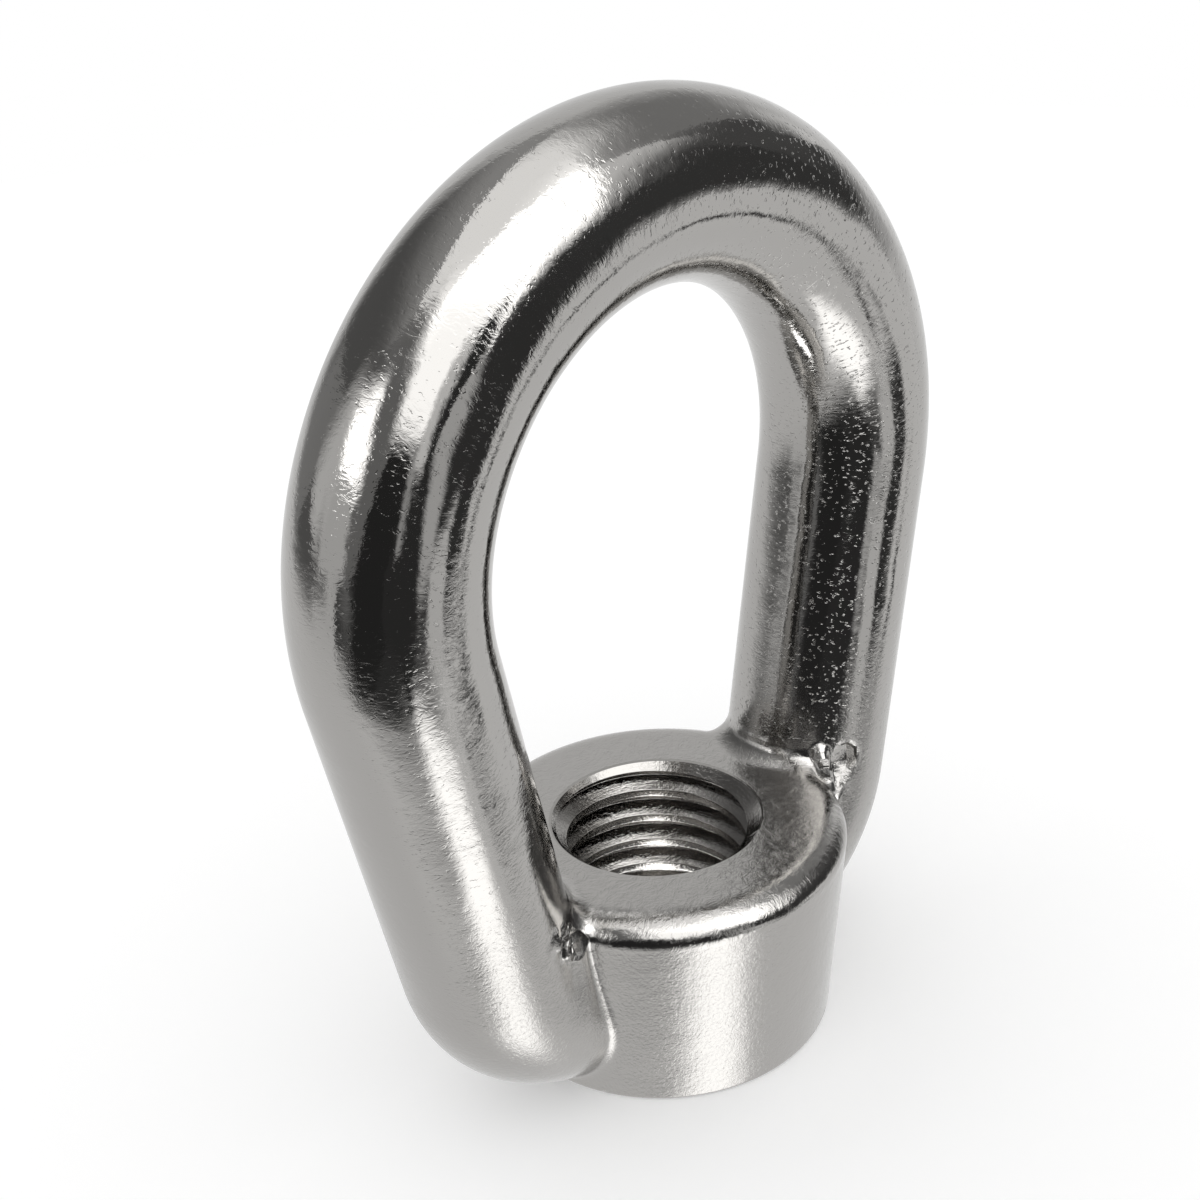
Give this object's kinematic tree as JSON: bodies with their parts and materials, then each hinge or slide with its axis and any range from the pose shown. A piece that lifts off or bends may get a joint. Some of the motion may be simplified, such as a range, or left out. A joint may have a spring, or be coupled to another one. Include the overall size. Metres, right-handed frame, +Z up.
{
  "type": "lifting eye nut",
  "caption": "One-piece cast steel eye nut: a round bar bent into a tall lifting eye, joined at both feet to a short turned hub with a tapped through hole.",
  "frame": {"origin": "middle of the hub's faced underside, on the axis of the tapped hole", "axes": "+Z up along the hole through the eye, X across the width of the eye, Y through the eye's opening"},
  "size_m": [0.0568, 0.0282, 0.0694],
  "materials": {
    "stainless_steel": "bright polished cast stainless steel, with a machined hub and thread"
  },
  "bodies": {
    "root": {"eye_nut": "stainless_steel"}
  },
  "joints": []
}
